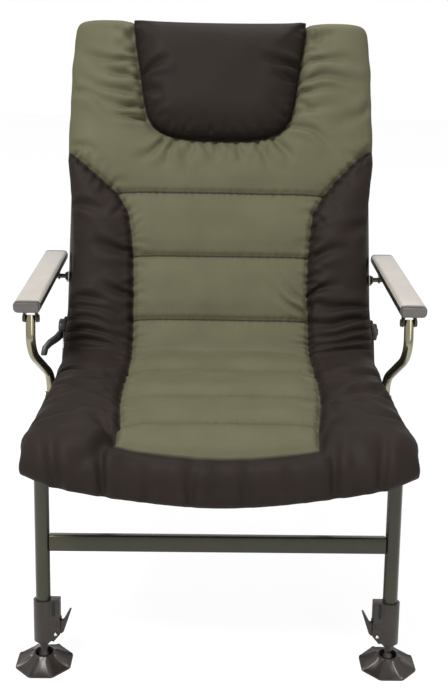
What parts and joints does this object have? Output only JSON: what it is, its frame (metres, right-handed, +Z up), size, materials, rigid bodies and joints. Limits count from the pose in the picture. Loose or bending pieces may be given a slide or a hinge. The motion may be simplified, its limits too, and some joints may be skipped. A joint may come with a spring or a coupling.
{
  "type": "reclining fishing chair",
  "caption": "Folding fishing chair with padded seat and reclining back, head pillow, armrests on swinging posts and telescopic legs with cam clamps and mud feet",
  "frame": {"origin": "on the ground under the middle of the chair's bounding box", "axes": "+X to the right as seen from the front, +Y to the rear, +Z up"},
  "size_m": [0.625, 0.7822, 0.9373],
  "materials": {
    "frame_green": "dark green gloss powder coat",
    "frame_bronze": "bronze-olive satin coat",
    "bright_steel": "zinc-plated steel",
    "arm_grey": "warm grey satin coat",
    "black_plastic": "black moulded plastic",
    "clamp_plastic": "brown-black moulded plastic",
    "canvas": "black woven canvas",
    "green_cloth": "olive green padded cloth",
    "brown_cloth": "dark brown padded cloth"
  },
  "bodies": {
    "seat": {"seat_rail": "frame_green", "seat_rear_tube": "frame_green", "seat_sling": "canvas", "seat_pad": "green_cloth", "fold_pad": "green_cloth", "hinge_plate_left": "frame_green", "hinge_plate_right": "frame_green", "hinge_cover_right": "black_plastic", "front_leg_bracket_left": "frame_green", "front_leg_bracket_right": "frame_green", "rear_leg_bracket_left": "frame_green", "rear_leg_bracket_right": "frame_green", "post_rivet_left": "bright_steel", "post_rivet_right": "bright_steel"},
    "back": {"back_rail": "frame_green", "back_cross_tube": "frame_green", "back_sling": "canvas", "back_pad": "green_cloth", "head_pillow": "brown_cloth", "arm_lug_left": "frame_green", "arm_lug_right": "frame_green"},
    "recline_lever": {"recline_lever": "black_plastic"},
    "armrest_left": {"armrest_left": "arm_grey", "armrest_front_cap_left": "black_plastic", "armrest_rear_cap_left": "black_plastic", "armrest_front_clevis_left": "bright_steel", "armrest_rear_clevis_left": "bright_steel"},
    "arm_post_left": {"arm_post_left": "frame_bronze"},
    "armrest_right": {"armrest_right": "arm_grey", "armrest_front_cap_right": "black_plastic", "armrest_rear_cap_right": "black_plastic", "armrest_front_clevis_right": "bright_steel", "armrest_rear_clevis_right": "bright_steel"},
    "arm_post_right": {"arm_post_right": "frame_bronze"},
    "front_legs": {"front_leg_left": "frame_green", "front_leg_right": "frame_green", "front_crossbar": "frame_green", "front_sleeve_left": "clamp_plastic", "front_sleeve_right": "clamp_plastic"},
    "front_extension_left": {"front_extension_left": "clamp_plastic"},
    "front_ball_stud_left": {"front_ball_stud_left": "black_plastic"},
    "front_foot_left": {"front_foot_left": "clamp_plastic"},
    "front_cam_lever_left": {"front_cam_lever_left": "clamp_plastic"},
    "front_extension_right": {"front_extension_right": "clamp_plastic"},
    "front_ball_stud_right": {"front_ball_stud_right": "black_plastic"},
    "front_foot_right": {"front_foot_right": "clamp_plastic"},
    "front_cam_lever_right": {"front_cam_lever_right": "clamp_plastic"},
    "rear_legs": {"rear_leg_left": "frame_green", "rear_leg_right": "frame_green", "rear_crossbar": "frame_green", "rear_sleeve_left": "clamp_plastic", "rear_sleeve_right": "clamp_plastic"},
    "rear_extension_left": {"rear_extension_left": "clamp_plastic"},
    "rear_ball_stud_left": {"rear_ball_stud_left": "black_plastic"},
    "rear_foot_left": {"rear_foot_left": "clamp_plastic"},
    "rear_cam_lever_left": {"rear_cam_lever_left": "clamp_plastic"},
    "rear_extension_right": {"rear_extension_right": "clamp_plastic"},
    "rear_ball_stud_right": {"rear_ball_stud_right": "black_plastic"},
    "rear_foot_right": {"rear_foot_right": "clamp_plastic"},
    "rear_cam_lever_right": {"rear_cam_lever_right": "clamp_plastic"}
  },
  "joints": [
    {"name": "back_recline", "type": "hinge", "parent": "seat", "child": "back", "pos_m": [0, 0.09014, 0.412], "axis": [1, 0, 0], "range_deg": [-20, 80], "deforming": ["fold_pad"]},
    {"name": "recline_lever_lift", "type": "hinge", "parent": "seat", "child": "recline_lever", "pos_m": [0, 0.09014, 0.412], "axis": [1, 0, 0], "range_deg": [-25, 0], "stiffness_Nm_per_rad": 0.3, "springref_deg": 17.19},
    {"name": "armrest_left_tilt", "type": "hinge", "parent": "back", "child": "armrest_left", "pos_m": [-0.292, 0.10935, 0.50264], "axis": [1, 0, 0], "range_deg": [-66.8, 18.2]},
    {"name": "arm_post_left_swing", "type": "hinge", "parent": "seat", "child": "arm_post_left", "pos_m": [-0.2768, -0.05986, 0.342], "axis": [1, 0, 0], "range_deg": [-14.9, 53.6]},
    {"name": "armrest_right_tilt", "type": "hinge", "parent": "back", "child": "armrest_right", "pos_m": [0.292, 0.10935, 0.50264], "axis": [1, 0, 0], "range_deg": [-66.8, 18.2]},
    {"name": "arm_post_right_swing", "type": "hinge", "parent": "seat", "child": "arm_post_right", "pos_m": [0.2768, -0.05986, 0.342], "axis": [1, 0, 0], "range_deg": [-14.9, 53.6]},
    {"name": "front_legs_fold", "type": "hinge", "parent": "seat", "child": "front_legs", "pos_m": [0, -0.26286, 0.318], "axis": [1, 0, 0], "range_deg": [0, 88]},
    {"name": "front_extension_left_slide", "type": "slide", "parent": "front_legs", "child": "front_extension_left", "axis": [0, -0.1394, -0.9902], "range_m": [0, 0.15]},
    {"name": "front_ball_stud_left_spin", "type": "hinge", "parent": "front_extension_left", "child": "front_ball_stud_left", "pos_m": [-0.262, -0.30586, 0.0125], "axis": [0, 0.1394, 0.9902], "continuous": true},
    {"name": "front_foot_left_tilt", "type": "hinge", "parent": "front_ball_stud_left", "child": "front_foot_left", "pos_m": [-0.262, -0.30586, 0.0125], "axis": [1, 0, 0], "range_deg": [-20, 15]},
    {"name": "front_cam_lever_left_open", "type": "hinge", "parent": "front_legs", "child": "front_cam_lever_left", "pos_m": [-0.243, -0.30056, 0.05013], "axis": [0, 0.9902, -0.1394], "range_deg": [0, 95]},
    {"name": "front_extension_right_slide", "type": "slide", "parent": "front_legs", "child": "front_extension_right", "axis": [0, -0.1394, -0.9902], "range_m": [0, 0.15]},
    {"name": "front_ball_stud_right_spin", "type": "hinge", "parent": "front_extension_right", "child": "front_ball_stud_right", "pos_m": [0.262, -0.30586, 0.0125], "axis": [0, 0.1394, 0.9902], "continuous": true},
    {"name": "front_foot_right_tilt", "type": "hinge", "parent": "front_ball_stud_right", "child": "front_foot_right", "pos_m": [0.262, -0.30586, 0.0125], "axis": [1, 0, 0], "range_deg": [-20, 15]},
    {"name": "front_cam_lever_right_open", "type": "hinge", "parent": "front_legs", "child": "front_cam_lever_right", "pos_m": [0.243, -0.30056, 0.05013], "axis": [0, -0.9902, 0.1394], "range_deg": [0, 95]},
    {"name": "rear_legs_fold", "type": "hinge", "parent": "seat", "child": "rear_legs", "pos_m": [0, 0.07014, 0.318], "axis": [1, 0, 0], "range_deg": [-95, 0]},
    {"name": "rear_extension_left_slide", "type": "slide", "parent": "rear_legs", "child": "rear_extension_left", "axis": [0, 0.6757, -0.7372], "range_m": [0, 0.15]},
    {"name": "rear_ball_stud_left_spin", "type": "hinge", "parent": "rear_extension_left", "child": "rear_ball_stud_left", "pos_m": [-0.205, 0.35014, 0.0125], "axis": [0, -0.6757, 0.7372], "continuous": true},
    {"name": "rear_foot_left_tilt", "type": "hinge", "parent": "rear_ball_stud_left", "child": "rear_foot_left", "pos_m": [-0.205, 0.35014, 0.0125], "axis": [1, 0, 0], "range_deg": [-5, 60]},
    {"name": "rear_cam_lever_left_open", "type": "hinge", "parent": "rear_legs", "child": "rear_cam_lever_left", "pos_m": [-0.186, 0.32447, 0.04051], "axis": [0, 0.7372, 0.6757], "range_deg": [0, 95]},
    {"name": "rear_extension_right_slide", "type": "slide", "parent": "rear_legs", "child": "rear_extension_right", "axis": [0, 0.6757, -0.7372], "range_m": [0, 0.15]},
    {"name": "rear_ball_stud_right_spin", "type": "hinge", "parent": "rear_extension_right", "child": "rear_ball_stud_right", "pos_m": [0.205, 0.35014, 0.0125], "axis": [0, -0.6757, 0.7372], "continuous": true},
    {"name": "rear_foot_right_tilt", "type": "hinge", "parent": "rear_ball_stud_right", "child": "rear_foot_right", "pos_m": [0.205, 0.35014, 0.0125], "axis": [1, 0, 0], "range_deg": [-5, 60]},
    {"name": "rear_cam_lever_right_open", "type": "hinge", "parent": "rear_legs", "child": "rear_cam_lever_right", "pos_m": [0.186, 0.32447, 0.04051], "axis": [0, -0.7372, -0.6757], "range_deg": [0, 95]}
  ],
  "couplings": [
    {"joint": "armrest_left_tilt", "follows": "back_recline", "ratio": -0.81},
    {"joint": "arm_post_left_swing", "follows": "back_recline", "ratio": 0.645},
    {"joint": "armrest_right_tilt", "follows": "back_recline", "ratio": -0.81},
    {"joint": "arm_post_right_swing", "follows": "back_recline", "ratio": 0.645}
  ]
}
